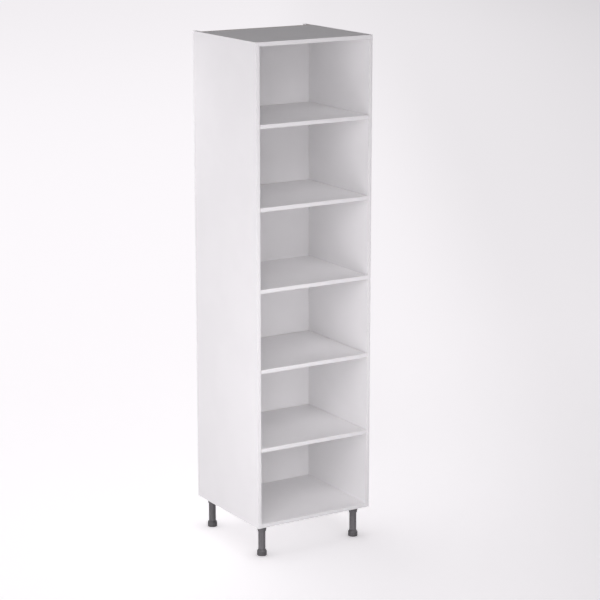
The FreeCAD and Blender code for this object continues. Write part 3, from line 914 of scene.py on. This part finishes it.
def add_cam_caps():
    """Thin press-in covers: a soft rim and a notch for a blade."""
    disc = turned(rounded([
        (0.0, 0.0, 0.0), (COVER_RADIUS, 0.0, 0.15 * MM), (COVER_RADIUS, -COVER_RIM, 0.25 * MM),
        (COVER_FACE_RADIUS, -COVER_THICKNESS, 0.5 * MM), (0.0, -COVER_THICKNESS, 0.0)]), steps=64)
    form = carved("cap_form", disc, [("DIFFERENCE", slab(NOTCH_LOW, NOTCH_HIGH))])
    placed = []
    for index, (low, high) in enumerate(solids("cam_caps")):
        seat = Vector(((low.x + high.x) / 2, (low.y + high.y) / 2, high.z))
        placed.append((form, Matrix.Translation(seat) @ Matrix.Rotation(COVER_TURN * index, 4, "Z")))
    mesh = gathered("cam_caps", placed)
    add_piece("cam_covers", mesh, CAP_PLASTIC, "carcass", "cam_caps")


def pin_mesh():
    """A round pin along X with a flat round-nosed tongue, from the side's inner face at 0."""
    shank = turned(rounded([
        (0.0, -PIN_DEPTH, 0.0), (PIN_RADIUS, -PIN_DEPTH, 0.7 * MM), (PIN_RADIUS, PIN_REACH, 0.5 * MM),
        (0.0, PIN_REACH, 0.0)]), steps=40)
    shank.transform(Matrix.Translation((0, 0, -PIN_DROP)) @ Matrix.Rotation(math.pi / 2, 4, "Y"))

    def nose(edge):
        return span(edge, Z) > SLIGHT and edge.verts[0].co.x > SLIGHT

    def level(edge):
        return span(edge, Z) < SLIGHT and max(vert.co.x for vert in edge.verts) > SLIGHT

    tongue = slab((0.0, -TONGUE_HALF_WIDTH, -TONGUE_THICKNESS), (TONGUE_LENGTH, TONGUE_HALF_WIDTH, 0.0))
    soften(tongue, nose, TONGUE_NOSE, segments=6)
    soften(tongue, level, TONGUE_ROUNDING)
    return carved("pin_form", tongue, [("UNION", shank)])


def add_shelf_pins():
    """Four pins under each loose shelf, with their tongues towards the middle."""
    form = pin_mesh()
    for number in SHELVES:
        node = f"shelf_{number}_pins"
        placed = []
        for low, high in solids(node):
            left = low.x < 0
            face = low.x + PIN_DEPTH if left else high.x - PIN_DEPTH
            place = Matrix.Translation((face, (low.y + high.y) / 2, high.z))
            placed.append((form, place @ Matrix.Rotation(0.0 if left else math.pi, 4, "Z")))
        add_piece(f"shelf_{number}_support_pins", gathered(node, placed), BRIGHT_STEEL, "carcass",
                  node)


# Floor, light and camera

def seen_rays(nodes):
    """1 for the rays that show the background itself: camera, glossy and transmission rays."""
    path = nodes.add("ShaderNodeLightPath", {}, {}, "Is Camera Ray")
    return path.at_least(path.out("Is Glossy Ray")).at_least(path.out("Is Transmission Ray"))


def floor_tone(finish):
    """How white the floor looks, with painted shade in its glow: fullest at the left, less close in
    front, to the right and far away.
    """
    here = finish.place()
    x, y, _ = finish.split(here)
    away = x * math.sin(CAMERA_TURN) + y * math.cos(CAMERA_TURN)
    right = x * math.cos(CAMERA_TURN) - y * math.sin(CAMERA_TURN)
    near = 1 - finish.eased(away, *NEAR_BAND)
    beside = 1 - finish.eased(away, *RIGHT_FADE_BAND) * RIGHT_FADE
    # painted shade: the glow falls close in front of the cabinet, to its right and far away, as shade
    # from the left-side light would
    tone = FLOOR_TONE - finish.eased(right, *MIDDLE_BAND) * (MIDDLE_FALL + near * NEAR_FALL)
    tone = tone - finish.eased(right, *RIGHT_BAND) * beside * RIGHT_FALL
    tone = tone - finish.eased(right, *FAR_RIGHT_BAND) * FAR_RIGHT_FALL
    tone = tone - finish.eased(away, *AWAY_BAND) * AWAY_FALL
    reach = finish.add("ShaderNodeVectorMath", {"operation": "LENGTH"}, {0: here}, "Value")
    far = finish.eased(reach, *HORIZON_BAND)
    return tone * (1 - far) + far * (HORIZON_TONE[0] - FLOOR_LIT)


def lay_floor():
    """A plain pale floor; its glow carries painted shade, and a painted contact shadow where something
    stands close over it.
    """
    mesh = bmesh.new()
    bmesh.ops.create_grid(mesh, x_segments=1, y_segments=1, size=FLOOR_REACH)
    floor = bpy.data.objects.new("floor", plain_mesh("floor", mesh))
    bpy.context.scene.collection.objects.link(floor)
    finish = Finish("pale_floor")
    # painted contact shadow: ambient occlusion darkens the floor's glow round the feet
    painted_contact_shadow = finish.add("ShaderNodeAmbientOcclusion", {"samples": 8}, {"Distance": PAINTED_SHADOW_REACH}, "AO")
    shown = floor_tone(finish) * (1 - (1 - painted_contact_shadow) * PAINTED_SHADOW_DEPTH)
    glow = finish.blend(seen_rays(finish) * shown, (0, 0, 0), LAMP_TINT)
    finish.set(Base_Color=FLOOR_GREY, Roughness=0.9, Specular_IOR_Level=0.0,
               Emission_Color=glow, Emission_Strength=1.0)
    floor.data.materials.append(finish.material)


def lamp_object(name, kind, power, receivers):
    """A lamp that lights only what its receivers say."""
    lamp = bpy.data.lights.new(name, kind)
    lamp.energy = power
    lamp.color = LAMP_TINT
    thing = bpy.data.objects.new(name, lamp)
    thing.rotation_mode = "QUATERNION"
    thing.visible_camera = False
    thing.light_linking.receiver_collection = receivers
    bpy.context.scene.collection.objects.link(thing)
    return thing


def hang_softbox(name, place, aim, width, height, power, receivers):
    """A rectangular lamp at a place, aimed at a point."""
    thing = lamp_object(name, "AREA", power, receivers)
    thing.data.shape = "RECTANGLE"
    thing.data.size = width
    thing.data.size_y = height
    thing.location = place
    thing.rotation_quaternion = (Vector(aim) - Vector(place)).to_track_quat("-Z", "Y")


def hang_far_light(name, side, rise, spread, power, receivers):
    """A distant soft light; the floor doesn't shade one that stands for the light the floor throws up."""
    thing = lamp_object(name, "SUN", power, receivers)
    thing.data.angle = math.radians(spread)
    round_front, up = math.radians(side), math.radians(rise)
    level = math.cos(up)
    source = Vector((math.sin(round_front) * level, -math.cos(round_front) * level, math.sin(up)))
    thing.rotation_quaternion = (-source).to_track_quat("-Z", "Y")
    if rise < 0:
        thing.light_linking.blocker_collection = receivers


def floor_list(name, state):
    """A list for a lamp, which takes the floor in or leaves it out."""
    listed = bpy.data.collections.new(name)
    listed.objects.link(bpy.data.objects["floor"])
    listed.collection_objects[0].light_linking.link_state = state
    return listed


def light_studio():
    """Dim air, soft lamps that light the cabinet alone, and the floor's own light from above."""
    world = bpy.data.worlds.new("studio_air")
    world.use_nodes = True
    bpy.context.scene.world = world
    nodes = Nodes(world.node_tree)
    air = world.node_tree.nodes["Background"]
    nodes.give(air.inputs["Color"], nodes.blend(seen_rays(nodes), AIR_LIGHT, HORIZON_TONE))
    all_but_floor = floor_list("all_but_floor", "EXCLUDE")
    for name, softbox in SOFTBOXES.items():
        hang_softbox(name, *softbox, all_but_floor)
    for name, far_light in FAR_LIGHTS.items():
        hang_far_light(name, *far_light, all_but_floor)
    floor_only = floor_list("floor_only", "INCLUDE")
    overhead = lamp_object("overhead_floor_light", "SUN", OVERHEAD_LIGHT, floor_only)
    overhead.data.angle = OVERHEAD_SPREAD
    overhead.rotation_quaternion = OVERHEAD_AIM.to_track_quat("-Z", "Y")


def set_camera():
    """A view from front left and above, with the whole cabinet in it."""
    camera = bpy.data.objects.new("camera", bpy.data.cameras.new("camera"))
    camera.data.lens = CAMERA_LENS
    camera.data.clip_end = CAMERA_SIGHT
    level = math.cos(CAMERA_DIP)
    ahead = Vector((math.sin(CAMERA_TURN) * level, math.cos(CAMERA_TURN) * level, -math.sin(CAMERA_DIP)))
    camera.location = CAMERA_PLACE
    camera.rotation_mode = "QUATERNION"
    camera.rotation_quaternion = ahead.to_track_quat("-Z", "Y")
    bpy.context.scene.collection.objects.link(camera)
    bpy.context.scene.camera = camera


finish_boards()
add_edging()
add_legs()
add_screws()
add_cam_caps()
add_shelf_pins()
lay_floor()
light_studio()
set_camera()
bpy.context.scene.view_settings.view_transform = "Standard"
